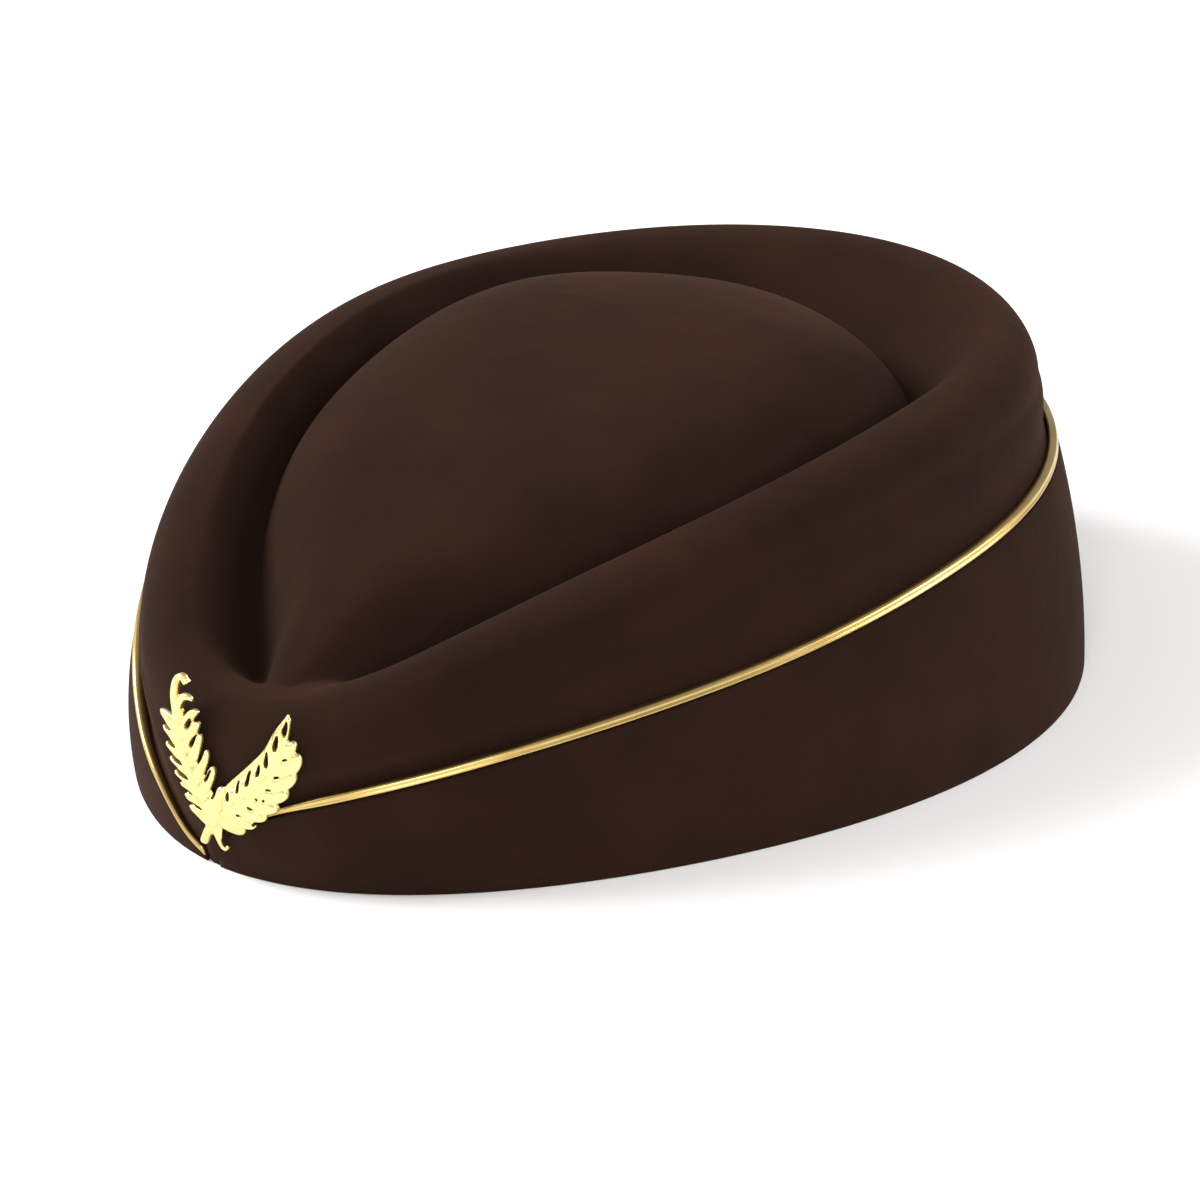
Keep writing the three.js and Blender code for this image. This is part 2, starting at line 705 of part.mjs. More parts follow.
function wreathBadge() {
  const pieces = [stem('left'), stem('right'), plate('left'), plate('right'), edgeBlade()];
  leafRuns.forEach((run, order) => {
    for (let index = 0; index < run.count; index += 1) {
      const lift = leafStep * (1 + index + order / leafRuns.length);
      pieces.push(leaf(run, run.count > 1 ? index / (run.count - 1) : 0, lift));
    }
  });
  const union = pieces.reduce((sum, piece) => sum.add(piece));
  const pierced = slits.map(slit).reduce((rest, cut) => rest.subtract(cut), union);
  // The plate is cast: spaces closed in between the leaves are full of metal.
  const whole = pierced.asOriginal().simplify(badgeFineness);
  const [flat] = whole.decompose().sort((a, b) => b.volume() - a.volume());
  const bent = flat.warp((point) => {
    const placed = onBadge(point[0], point[1], point[2]);
    point[0] = placed.x;
    point[1] = placed.y;
    point[2] = placed.z;
  });
  const start = onBadge(0, pinHeight, badgeBack / 2).y;
  const end = clutchFace + clutchThickness + pinBeyondClutch;
  const pinned = bent.add(rodAlongY(pinRadius, start, end, pinHeight));
  return toGeometry(pinned.asOriginal().simplify(badgeFineness));
}

function badgeClutch() {
  const disc = rodAlongY(clutchRadius, clutchFace, clutchFace + clutchThickness, pinHeight);
  const boreEnd = clutchFace + clutchThickness + boreOverrun;
  const bore = rodAlongY(pinRadius + gap, clutchFace - boreOverrun, boreEnd, pinHeight);
  return toGeometry(disc.subtract(bore));
}

function boredBody() {
  const hole = rodAlongY(pinRadius + gap, feltFront - feltThickness, feltBack + feltThickness, pinHeight);
  return toGeometry(toManifold(feltBody()).subtract(hole));
}

const felt = { color: 0x38271f, roughness: 0.95, metalness: 0 };
const gold = { color: 0xc9a455, roughness: 0.35, metalness: 0.9 };
const paleGold = { color: 0xecd993, roughness: 0.35, metalness: 0.85 };

function node(name, geometry, material) {
  const mesh = new THREE.Mesh(geometry, new THREE.MeshStandardMaterial(material));
  mesh.name = name;
  return mesh;
}

const group = new THREE.Group();
group.name = 'flight_attendant_hat';
// The badge stands out further than the back of the band: the origin is the middle of the whole.
group.position.y = badgeOverhang / 2;
group.add(node('felt_body', boredBody(), felt));
group.add(node('side_band', sideBand(), felt));
group.add(node('gold_piping', goldPiping(), gold));
group.add(node('wreath_badge', wreathBadge(), paleGold));
group.add(node('badge_clutch', badgeClutch(), gold));

export default group;
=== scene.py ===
from math import cos, pi, radians, sin
import bpy
import numpy as np
from mathutils import Matrix, Vector


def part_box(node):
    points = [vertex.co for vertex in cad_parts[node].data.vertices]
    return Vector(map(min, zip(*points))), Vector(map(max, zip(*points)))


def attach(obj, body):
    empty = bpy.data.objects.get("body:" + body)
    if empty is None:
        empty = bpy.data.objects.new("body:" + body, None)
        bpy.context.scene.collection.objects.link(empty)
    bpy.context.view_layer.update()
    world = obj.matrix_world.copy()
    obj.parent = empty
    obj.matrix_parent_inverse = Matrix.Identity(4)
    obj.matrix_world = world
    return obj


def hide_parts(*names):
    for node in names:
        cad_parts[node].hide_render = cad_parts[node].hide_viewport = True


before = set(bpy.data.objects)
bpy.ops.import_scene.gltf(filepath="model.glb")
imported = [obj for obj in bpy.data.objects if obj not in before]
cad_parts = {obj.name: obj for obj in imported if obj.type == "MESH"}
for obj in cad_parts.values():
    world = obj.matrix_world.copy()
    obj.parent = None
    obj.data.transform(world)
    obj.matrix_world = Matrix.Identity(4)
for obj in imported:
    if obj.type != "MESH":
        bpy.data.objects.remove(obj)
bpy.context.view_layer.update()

# Felt hat with a rolled rim and a teardrop crown. Lengths in the settings are millimetres,
# the front is -Y, the wearer's left +X, turn 0 is the front and 90 the wearer's left.
mm = 0.001
root = "root"

hat = {
    "halfLength": 103.0,
    "halfWidth": 81.5,
    "backHeight": 59.3,
    "felt": 2.0,
    "swell": 3.2,          # how far the wall bellies out
    "shiftY": 0.715,       # the badge counts in the middle of the length
    "crownCentreY": 8.6,
    "ridgeAtY": 86.0,
    "ridge": (37.3, 67.5, 54.0),   # front, middle, back
    "crownFullness": 3.5,
    "crownFoot": 0.7,
    "gutterHollow": 1.4,   # above 1 the gutter's wall starts out level
    "noseNarrow": 0.65,    # the gutter gives way to the crown's nose at the front
    "noseTurns": 30.0,
    "noseTurn": 6.0,       # it lies a little to the wearer's left
    "noseFlatTurns": 2.0,
    "noseFadeTurns": 21.0,
    "noseFrom": 0.2,       # forward of this share of the half length the crown's cross-sections lead
    "noseBlend": 0.58,
    "noseSoft": 1.5,       # the crown rises gently out of the felt there
    "noseSoftFrom": -0.55,
    "noseSoftBlend": 0.25,
    "bulgeReach": 9.0,
    "bulgeRoom": 0.85,
}

# Shares of the half width (across) and of the back height (the rest), every 30 degrees from front to back
sections = {
    "across": (0, 0.411, 0.786, 1.022, 0.946, 0.545, 0),
    "crest": (0.537, 0.68, 0.882, 0.989, 1.0, 0.998, 1),
    "inset": (-0.035, 0.023, 0.159, 0.262, 0.224, 0.075, -0.009),
    "rollWidth": (0.095, 0.145, 0.178, 0.182, 0.172, 0.14, 0.115),
    "rollHeight": (0.165, 0.184, 0.156, 0.136, 0.141, 0.157, 0.161),
    "gutterWidth": (0.235, 0.212, 0.101, 0.112, 0.187, 0.343, 0.396),
    "gutterDepth": (0.14, 0.18, 0.214, 0.214, 0.224, 0.233, 0.225),
}

band = {
    "thickness": 1.7,
    "endThickness": 0.1,   # thinned to nothing under the badge
    "gap": 0.3,
    "least": 0.9,
    "first": -6.0,         # turns of its two ends
    "last": -363.0,
    "skive": 18.0,         # turns over which it thins out
    "firstShare": 0.35,    # thickness left at its first end
    # turn and height share of its top edge
    "top": ((-363, 0.015), (-360, 0.12), (-354, 0.205), (-346, 0.268), (-334, 0.337), (-317, 0.418),
            (-295, 0.503), (-267, 0.6), (-237, 0.642), (-180, 0.658), (-123, 0.642), (-90, 0.6),
            (-60, 0.524), (-45, 0.473), (-33, 0.39), (-27, 0.325), (-21, 0.24), (-15, 0.155),
            (-9.5, 0.055), (-6, 0.015)),
}

piping = {
    "height": 1.7,
    "proud": 0.3,
    "first": -6.0,
    "last": -354.0,
    "taper": 9.0,
    "taperShare": 0.45,
    "flatness": 0.7,       # below 1 the ribbon's faces are flatter than a round cord's
    "foldDepth": 0.24,     # the folded ribbon sinks in along its middle, a share of its half thickness
    "foldReach": 24.0,     # degrees around the ribbon
}

badge = {
    "standOff": 0.5,
    "edgeLift": 1.1,
    "halfWidth": 14.0,
    "back": 0.7,
    "rise": 0.8,
    "stemRise": 0.9,
    "domeFrom": 0.7,       # blades narrower than twice this rise less
    "domePower": 0.7,      # below 1 their faces are flatter than round
    "bladeSides": 14,
    "stemSteps": 60,
    "plateSteps": 40,
    "curveSteps": 241,
    "leafSteps": 18,
    "leafEnd": 0.995,      # share of a leaf's length where its tip is closed
    "leanFade": 0.4,       # share of its lean that a leaf loses towards its tip
    "middle": 0.4,         # place of the middle width along a branch
    # width of each branch at its tail, middle and tip
    "stems": {"left": (0.6, 1.8, 1.3), "right": (1.6, 1.7, 0.9)},
    # the thin edge that runs past the tips of the right branch's inner leaves
    "edge": ((-0.8, 13.4), (1.7, 17.2), (4.4, 20.1), (7.1, 22.9), (9.5, 25.9), (11.4, 29.6), (12.5, 31.3),
             (13.9, 33.4)),
    "edgeWidths": (1.2, 1.4, 0.5),
    # the thin plate that joins the leaves: share of the branch, its width on the left and the right one
    "plate": ((0.1, 1.4, 2.0), (0.2, 4.4, 3.4), (0.3, 4.8, 5.3), (0.6, 4.5, 6.3), (0.72, 2.2, 5.0),
              (0.84, 1.1, 2.2)),
    "plateRise": 0.3,
    "knob": {"half": 0.8, "steps": 12, "toEnd": 0.97, "heading": (0.5, 0.87)},
    "voxel": 0.14,         # the cast plate is fused and then smoothed at this grain
    # centre lines of the branches on the unrolled wall, out and up, from the tail to the tip
    "left": ((0.9, 6.3), (-0.2, 5.3), (-1.1, 7.4), (-1.7, 10.4), (-3.0, 14.0), (-5.0, 17.6), (-7.0, 21.1),
             (-8.5, 24.9), (-9.3, 28.6), (-9.5, 31.6), (-8.7, 34.2), (-7.3, 35.2), (-6.3, 34.2)),
    "right": ((-4.3, 6.0), (-2.6, 8.8), (-0.2, 11.4), (4.0, 14.9), (7.4, 18.0), (9.9, 21.4), (11.8, 25.2),
              (13.1, 28.8), (13.9, 32.9)),
}

# Runs of leaves: branch, how many, first and last place along it, length, lean, hook at the tip, width,
# taper and bluntness of the tip. A pair runs from the first leaf to the last.
leafRuns = (
    ("left", 8, (0.19, 0.62), (5.6, 6.4), (58, 36), (60, 60), (3.3, 3.9), 0.5, 2.2),
    ("left", 6, (0.27, 0.63), (6.0, 7.0), (-72, -52), (0, -70), (2.4, 2.3), 0.3, 7.0),
    ("left", 1, (0.71, 0.71), (6.9, 6.9), (-26, -26), (-170, -170), (2.6, 2.6), 0.6, 7.0),
    ("right", 7, (0.21, 0.66), (5.4, 7.0), (-66, -34), (0, 40), (2.9, 4.0), 0.1, 3.5),
    ("right", 1, (0.8, 0.8), (3.6, 3.6), (-38, -38), (30, 30), (3.0, 3.0), 0.3, 3.0),
    ("right", 6, (0.19, 0.665), (4.9, 6.3), (56, 33), (-80, -59), (2.2, 2.3), -0.15, 6.0),
    ("right", 1, (0.76, 0.76), (7.0, 7.0), (28, 28), (-50, -50), (2.8, 2.8), 0.75, 4.0),
)

# Slits through the plate and notches between leaves: middle, length, slant and width
slits = (
    (2.2, 16.4, 2.0, 80, 0.75), (4.2, 18.6, 2.6, 80, 0.8), (6.2, 20.6, 3.1, 78, 0.8),
    (8.2, 22.5, 2.6, 76, 0.75), (9.8, 24.8, 3.2, 84, 0.8), (11.6, 28.1, 3.4, 78, 0.85),
    (13.3, 30.9, 3.4, 76, 0.85), (11.6, 22.0, 1.2, 20, 0.5), (10.3, 19.5, 1.6, 4, 0.4),
    (7.9, 17.3, 0.8, -40, 0.45), (9.2, 17.4, 0.8, 60, 0.45), (6.7, 15.3, 1.8, -15, 0.45),
    (4.2, 13.4, 1.4, 5, 0.4), (7.0, 12.4, 0.8, 60, 0.5), (13.2, 25.4, 1.8, 25, 0.35),
    (-12.2, 24.9, 3.8, 168, 0.8), (-11.2, 22.2, 4.0, 166, 0.8), (-9.4, 19.7, 4.0, 166, 0.8),
    (-8.0, 17.5, 4.0, 166, 0.8), (-7.0, 14.9, 3.8, 166, 0.75), (-4.9, 12.6, 3.4, 168, 0.7),
    (-7.2, 30.1, 2.8, 62, 0.7), (-6.2, 27.1, 3.2, 60, 0.8), (-5.2, 24.2, 3.4, 58, 0.85),
    (-3.6, 21.7, 3.4, 58, 0.85), (-1.9, 19.0, 3.2, 60, 0.8), (-0.6, 16.2, 3.0, 64, 0.75),
)
slitCutter = {"sides": 12, "from": -1.0, "to": 4.0, "taper": 0.35}


def linear(hexColour):
    values = [int(hexColour[i:i + 2], 16) / 255 for i in (1, 3, 5)]
    return tuple(v / 12.92 if v <= 0.04045 else ((v + 0.055) / 1.055) ** 2.4 for v in values) + (1.0,)


# Shape of the hat, the same formulas as the solids, on arrays of turns in degrees
def evenSeries(name):
    values = np.array(sections[name], float)
    steps = len(values) - 1
    weights = np.ones(steps + 1)
    weights[[0, -1]] = 0.5
    turns = np.arange(steps + 1) * pi / steps
    coefficients = np.array([2 / steps * weights[k] * np.sum(weights * values * np.cos(k * turns))
                             for k in range(steps + 1)])
    return lambda turn: sum(c * np.cos(k * np.radians(turn)) for k, c in enumerate(coefficients))


def oddSeries(name):
    values = np.array(sections[name], float)
    steps = len(values) - 1
    turns = np.arange(steps + 1) * pi / steps
    coefficients = np.array([2 / steps * np.sum(values * np.sin(k * turns)) for k in range(steps + 1)])
    return lambda turn: sum(c * np.sin(k * np.radians(turn)) for k, c in enumerate(coefficients))


acrossAt = oddSeries("across")
crestAt, insetAt, rollWidthAt, rollHeightAt, gutterWide, gutterDeep = [
    evenSeries(name)
    for name in ("crest", "inset", "rollWidth", "rollHeight", "gutterWidth", "gutterDepth")]


def smooth(value):
    value = np.clip(value, 0, 1)
    return value * value * (3 - 2 * value)


def fromFront(turn):
    turn = np.mod(turn, 360)
    return np.minimum(turn, 360 - turn)


def gutterWidthAt(turn):
    nose = 1 - np.sin(np.minimum(1, fromFront(turn - hat["noseTurn"]) / hat["noseTurns"]) * pi / 2)
    return gutterWide(turn) * (1 - hat["noseNarrow"] * nose)


def gutterDepthAt(turn):
    beside = fromFront(turn - hat["noseTurn"]) - hat["noseFlatTurns"]
    return gutterDeep(turn) * smooth(beside / hat["noseFadeTurns"])


def bandTurn(turn):
    turn = np.where(turn > 0, turn - 360, turn)
    return np.where(turn > band["first"], turn - 360, turn)


def bandHeight(turn):
    turns, heights = np.array(band["top"], float).T
    slopes = np.empty(len(turns))
    slopes[1:-1] = (heights[2:] - heights[:-2]) / (turns[2:] - turns[:-2])
    slopes[0] = (heights[1] - heights[0]) / (turns[1] - turns[0])
    slopes[-1] = (heights[-1] - heights[-2]) / (turns[-1] - turns[-2])
    at = np.clip(bandTurn(turn), turns[0], turns[-1])
    high = np.clip(np.searchsorted(turns, at), 1, len(turns) - 1)
    low = high - 1
    span = turns[high] - turns[low]
    part = (at - turns[low]) / span
    bend = part * (1 - part) ** 2 * slopes[low] - part ** 2 * (1 - part) * slopes[high]
    height = heights[low] + (heights[high] - heights[low]) * smooth(part) + bend * span
    return np.maximum(band["least"], hat["backHeight"] * height)


def bandThickness(turn):
    at = bandTurn(turn)
    least = band["endThickness"] / band["thickness"]
    fromLast = least + (1 - least) * smooth((at - band["last"]) / band["skive"])
    kept = band["firstShare"]
    fromFirst = kept + (1 - kept) * np.clip((band["first"] - at) / band["skive"], 0, 1)
    return band["thickness"] * np.minimum(fromLast, fromFirst)


def plan(turn):
    def point(at):
        return np.stack([hat["halfWidth"] * acrossAt(at), -hat["halfLength"] * np.cos(np.radians(at))], -1)
    along = point(turn + 0.5) - point(turn - 0.5)
    along /= np.linalg.norm(along, axis=-1, keepdims=True)
    return point(turn), np.stack([-along[..., 1], along[..., 0]], -1)


def place(turn, inset, height):
    point, inward = plan(np.asarray(turn, float))
    inset = np.asarray(inset, float)
    flat = point + inward * inset[..., None]
    return np.concatenate([flat, np.broadcast_to(np.asarray(height, float), inset.shape)[..., None]], -1)


def wallTop(turn):
    return hat["backHeight"] * (crestAt(turn) - rollHeightAt(turn))


def wallInset(turn, height):
    share = np.clip(height / wallTop(turn), 0, 1)
    swell = hat["swell"] * wallTop(turn) / hat["backHeight"]
    return hat["backHeight"] * insetAt(turn) * share - swell * 4 * share * (1 - share)


def seamTop(turn):
    return bandHeight(turn) + 2 * band["gap"] + piping["height"]


def bodyInset(turn, height):
    seam = seamTop(turn)
    reach = np.minimum(hat["bulgeReach"], hat["bulgeRoom"] * (wallTop(turn) - seam))
    drawnIn = bandThickness(turn) + band["gap"]
    return wallInset(turn, height) + drawnIn * (1 - smooth((height - seam) / reach))


def ridgeHeight(y):
    front, middle, back = hat["ridge"]
    s = y / hat["ridgeAtY"]
    return middle + (back - front) / 2 * s + ((back + front) / 2 - middle) * s * s


def meshObject(name, points, faces, material):
    mesh = bpy.data.meshes.new(name)
    mesh.from_pydata([tuple(p) for p in points], [], [tuple(f) for f in faces])
    mesh.validate()
    mesh.update()
    for polygon in mesh.polygons:
        polygon.use_smooth = True
    mesh.materials.append(material)
    made = bpy.data.objects.new(name, mesh)
    bpy.context.scene.collection.objects.link(made)
    return made


def gridFaces(rows, columns, loop):
    faces = []
    across = columns if loop else columns - 1
    for row in range(rows - 1):
        for column in range(across):
            a = row * columns + column
            b = row * columns + (column + 1) % columns
            faces.append((a, b, b + columns, a + columns))
    return faces


def toMetres(points):
    moved = np.array(points, float)
    moved[..., 1] += hat["shiftY"]
    return moved * mm


# Materials
def addNode(tree, kind, settings=None, links=None):
    node = tree.nodes.new(kind)
    for name, value in (settings or {}).items():
        if isinstance(name, int) or name in node.inputs:
            node.inputs[name].default_value = value
        else:
            setattr(node, name, value)
    for name, source in (links or {}).items():
        tree.links.new(source, node.inputs[name])
    return node


def newMaterial(name):
    material = bpy.data.materials.new(name)
    material.use_nodes = True
    tree = material.node_tree
    tree.nodes.clear()
    return material, tree


def perMetre(millimetres):
    return 1000.0 / millimetres


def makeWoolFelt():
    # Pressed wool felt, stiffened and brushed: matte, dark, with a thin bloom of fibre at the edges
    look = {"dark": "#1d0f09", "light": "#27170f", "patch": 26.0, "fibre": 0.5, "brush": 3.0,
            "crease": 12.0, "creaseHeight": 3.0, "fibreTone": 0.35, "fibreHeight": 0.5,
            "toneFrom": 0.45, "toneTo": 0.95, "bump": 0.35, "bumpHeight": 0.0002, "bloom": "#b07f62"}
    material, tree = newMaterial("brushedWoolFelt")
    coords = addNode(tree, "ShaderNodeTexCoord")
    patches = addNode(tree, "ShaderNodeTexNoise",
                      {"Scale": perMetre(look["patch"]), "Detail": 3.0, "Roughness": 0.55},
                      {"Vector": coords.outputs["Object"]})
    fibres = addNode(tree, "ShaderNodeTexNoise",
                     {"Scale": perMetre(look["fibre"]), "Detail": 4.0, "Roughness": 0.7},
                     {"Vector": coords.outputs["Object"]})
    brushed = addNode(tree, "ShaderNodeTexNoise",
                      {"Scale": perMetre(look["brush"]), "Detail": 2.0, "Roughness": 0.5},
                      {"Vector": coords.outputs["Object"]})
    tone = addNode(tree, "ShaderNodeMath", {"operation": "MULTIPLY_ADD", 1: look["fibreTone"]},
                   {0: fibres.outputs["Fac"], 2: patches.outputs["Fac"]})
    ramp = addNode(tree, "ShaderNodeMapRange", {"From Min": look["toneFrom"], "From Max": look["toneTo"]},
                   {"Value": tone.outputs[0]})
    colour = addNode(tree, "ShaderNodeMix", {"data_type": "RGBA"}, {"Factor": ramp.outputs["Result"]})
    colour.inputs[6].default_value = linear(look["dark"])
    colour.inputs[7].default_value = linear(look["light"])
    heights = addNode(tree, "ShaderNodeMath", {"operation": "MULTIPLY_ADD", 1: look["fibreHeight"]},
                      {0: fibres.outputs["Fac"], 2: brushed.outputs["Fac"]})
    creases = addNode(tree, "ShaderNodeTexNoise",
                      {"Scale": perMetre(look["crease"]), "Detail": 2.0, "Roughness": 0.45,
                       "Distortion": 1.4},
                      {"Vector": coords.outputs["Object"]})
    worn = addNode(tree, "ShaderNodeMath", {"operation": "MULTIPLY_ADD", 1: look["creaseHeight"]},
                   {0: creases.outputs["Fac"], 2: heights.outputs[0]})
    bump = addNode(tree, "ShaderNodeBump", {"Strength": look["bump"], "Distance": look["bumpHeight"]},
                   {"Height": worn.outputs[0]})
    shader = addNode(tree, "ShaderNodeBsdfPrincipled",
                     {"Roughness": 0.95, "Sheen Weight": 0.07, "Sheen Roughness": 0.5,
                      "Sheen Tint": linear(look["bloom"]), "Specular IOR Level": 0.08},
                     {"Base Color": colour.outputs[2], "Normal": bump.outputs["Normal"]})
    addNode(tree, "ShaderNodeOutputMaterial", None, {"Surface": shader.outputs["BSDF"]})
    return material


def makeGoldRibbon():
    # Ribbon woven of gold foil threads and folded flat. The threads are too fine to see one by one;
    # the sheen that breaks up over them is painted into the base colour as soft streaking of a darker and
    # a paler gold
    look = {"gold": "#e0c684", "shade": "#a98746", "streak": 9.0, "weave": 0.35}
    material, tree = newMaterial("wovenGoldFoil")
    coords = addNode(tree, "ShaderNodeTexCoord")
    paintedSheenStreaks = addNode(tree, "ShaderNodeTexNoise", {"Scale": perMetre(look["streak"]), "Detail": 3.0},
                      {"Vector": coords.outputs["Object"]})
    # painted sheen: a noise mixes the darker and the paler gold into the base colour as soft streaking
    colour = addNode(tree, "ShaderNodeMix", {"data_type": "RGBA"}, {"Factor": paintedSheenStreaks.outputs["Fac"]})
    colour.inputs[6].default_value = linear(look["shade"])
    colour.inputs[7].default_value = linear(look["gold"])
    weave = addNode(tree, "ShaderNodeTexNoise", {"Scale": perMetre(look["weave"]), "Detail": 1.0},
                    {"Vector": coords.outputs["Object"]})
    bump = addNode(tree, "ShaderNodeBump", {"Strength": 0.2, "Distance": 0.00004},
                   {"Height": weave.outputs["Fac"]})
    shader = addNode(tree, "ShaderNodeBsdfPrincipled", {"Metallic": 1.0, "Roughness": 0.3},
                     {"Base Color": colour.outputs[2], "Normal": bump.outputs["Normal"]})
    addNode(tree, "ShaderNodeOutputMaterial", None, {"Surface": shader.outputs["BSDF"]})
    return material


def makePaleGold():
    # Die-cast zinc with pale gold plate: satin faces with wide soft glints, uneven from the mould
    look = {"gold": "#f2e6ae", "shade": "#dcc87c", "grain": 1.2}
    material, tree = newMaterial("platedCastMetal")
    coords = addNode(tree, "ShaderNodeTexCoord")
    grain = addNode(tree, "ShaderNodeTexNoise",
                    {"Scale": perMetre(look["grain"]), "Detail": 3.0, "Roughness": 0.6},
                    {"Vector": coords.outputs["Object"]})
    colour = addNode(tree, "ShaderNodeMix", {"data_type": "RGBA"}, {"Factor": grain.outputs["Fac"]})
    colour.inputs[6].default_value = linear(look["shade"])
    colour.inputs[7].default_value = linear(look["gold"])
    bump = addNode(tree, "ShaderNodeBump", {"Strength": 0.2, "Distance": 0.0001},
                   {"Height": grain.outputs["Fac"]})
    shader = addNode(tree, "ShaderNodeBsdfPrincipled", {"Metallic": 1.0, "Roughness": 0.38},
                     {"Base Color": colour.outputs[2], "Normal": bump.outputs["Normal"]})
    addNode(tree, "ShaderNodeOutputMaterial", None, {"Surface": shader.outputs["BSDF"]})
    return material


def makeBrass():
    # Turned brass: plain, with a fine unevenness that blurs its glints
    look = {"metal": "#c9a455", "grain": 0.6}
    material, tree = newMaterial("turnedBrass")
    coords = addNode(tree, "ShaderNodeTexCoord")
    grain = addNode(tree, "ShaderNodeTexNoise", {"Scale": perMetre(look["grain"]), "Detail": 2.0},
                    {"Vector": coords.outputs["Object"]})
    bump = addNode(tree, "ShaderNodeBump", {"Strength": 0.15, "Distance": 0.0001},
                   {"Height": grain.outputs["Fac"]})
    shader = addNode(tree, "ShaderNodeBsdfPrincipled",
                     {"Metallic": 1.0, "Roughness": 0.35, "Base Color": linear(look["metal"])},
                     {"Normal": bump.outputs["Normal"]})
    addNode(tree, "ShaderNodeOutputMaterial", None, {"Surface": shader.outputs["BSDF"]})
    return material


# Felt body
def makeFeltBody(material):
    detail = {"stations": 288, "lower": 10, "upper": 14, "roll": 18, "inner": 22, "crown": 40,
              "crowding": 1.5}   # the crown's rings lie closer together at its foot
    turns = np.arange(detail["stations"]) * 360.0 / detail["stations"]
    seam, top = seamTop(turns), wallTop(turns)
    height = hat["backHeight"]
    crest, lean = height * crestAt(turns), height * insetAt(turns)
    rollWidth, rollHeight = height * rollWidthAt(turns), height * rollHeightAt(turns)
    gutterWidth, gutterDepth = height * gutterWidthAt(turns), height * gutterDepthAt(turns)
    rows = []
    for share in np.linspace(0, 1, detail["lower"]):
        rows.append(place(turns, bodyInset(turns, seam * share), seam * share))
    for share in np.linspace(0, 1, detail["upper"] + 1)[1:]:
        up = seam + (top - seam) * share
        rows.append(place(turns, bodyInset(turns, up), up))
    for share in np.linspace(0, 1, detail["roll"] + 1)[1:]:
        q = share * pi / 2
        rows.append(place(turns, lean + rollWidth * (1 - cos(q)), top + rollHeight * sin(q)))
    for share in np.linspace(0, 1, detail["inner"] + 1)[1:]:
        sunk = gutterDepth * smooth(share ** hat["gutterHollow"])
        rows.append(place(turns, lean + rollWidth + gutterWidth * share, crest - sunk))
    foot = rows[-1]
    # the foot line from the nose to the back on either side
    line = np.roll(foot, -int(np.argmin(foot[:, 1])), 0)
    back = int(np.argmax(line[:, 1]))
    left, right = line[:back + 1], np.vstack([line[:1], line[:back - 1:-1]])
    for share in 1 - np.linspace(0, 1, detail["crown"] + 1)[1:-1] ** detail["crowding"]:
        flat = foot[:, :2] * share
        flat[:, 1] += hat["crownCentreY"] * (1 - share)
        leftX, leftZ, rightX, rightZ = [np.interp(flat[:, 1], side[:, 1], side[:, k])
                                        for side in (left, right) for k in (0, 2)]
        half = np.maximum((leftX - rightX) / 2, 1e-6)
        forward = flat[:, 1] / hat["halfLength"]
        nose = smooth((hat["noseFrom"] - forward) / hat["noseBlend"])
        sideways = np.clip((flat[:, 0] - (leftX + rightX) / 2) / half, -1, 1)
        out = (1 - nose) * share + nose * np.abs(sideways)
        base = (1 - nose) * foot[:, 2] + nose * (leftZ + rightZ + sideways * (leftZ - rightZ)) / 2
        soft = hat["noseSoft"] * smooth((hat["noseSoftFrom"] - forward) / hat["noseSoftBlend"])
        fill = (1 - out ** hat["crownFullness"]) ** (hat["crownFoot"] + soft)
        rows.append(np.column_stack([flat, base + (ridgeHeight(flat[:, 1]) - base) * fill]))
    outer = np.array(rows)
    peak = np.array([0, hat["crownCentreY"], ridgeHeight(hat["crownCentreY"])])
    alongTurn = np.roll(outer, -1, 1) - np.roll(outer, 1, 1)
    alongRow = np.gradient(outer, axis=0)
    normals = np.cross(alongTurn, alongRow)
    normals /= np.linalg.norm(normals, axis=2, keepdims=True)
    inner = outer - normals * hat["felt"]
    inner[0, :, 2] = 0
    points = np.concatenate([inner[::-1].reshape(-1, 3), outer.reshape(-1, 3),
                             [peak - [0, 0, hat["felt"]], peak]])
    rowCount, columns = 2 * len(rows), len(turns)
    faces = gridFaces(rowCount, columns, True)
    last = rowCount * columns
    for column in range(columns):
        after = (column + 1) % columns
        faces.append((last, after, column))
        faces.append((last + 1, last - columns + column, last - columns + after))
    made = meshObject("feltHatBody", toMetres(points), faces, material)
    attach(made, root)
    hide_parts("felt_body")
    return made


def sweep(name, outlines, material):
    count, sides = outlines.shape[:2]
    middles = [outlines[0].mean(0), outlines[-1].mean(0)]
    points = np.concatenate([outlines.reshape(-1, 3), middles])
    faces = gridFaces(count, sides, True)
    first, last = count * sides, count * sides + 1
    for side in range(sides):
        after = (side + 1) % sides
        faces.append((first, after, side))
        faces.append((last, (count - 1) * sides + side, (count - 1) * sides + after))
    return meshObject(name, toMetres(points), faces, material)


def makeSideBand(material):
    detail = {"stations": 360, "rows": 16, "edge": 0.35, "corner": (30, 60, 90)}
    turns = np.linspace(band["first"], band["last"], detail["stations"])
    top, thick = bandHeight(turns), bandThickness(turns)
    edge = np.minimum(detail["edge"], thick / 2)
    outline = []
    # outer face upwards, rounded cut edge, inner face downwards
    for share in np.linspace(0, 1, detail["rows"]):
        up = edge + (top - 2 * edge) * share
        outline.append(place(turns, wallInset(turns, up), up))
    for angle in detail["corner"]:
        back, up = edge * (1 - cos(radians(angle))), top - edge + edge * sin(radians(angle))
        outline.append(place(turns, wallInset(turns, up) + back, up))
    for share in np.linspace(1, 0, detail["rows"]):
        up = top * share
        outline.append(place(turns, wallInset(turns, up) + thick, up))
    for angle in reversed(detail["corner"]):
        back, up = edge * (1 - cos(radians(angle))), edge - edge * sin(radians(angle))
        outline.append(place(turns, wallInset(turns, up) + back, up))
    made = sweep("feltSideBand", np.array(outline).transpose(1, 0, 2), material)
    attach(made, root)
    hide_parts("side_band")
    return made


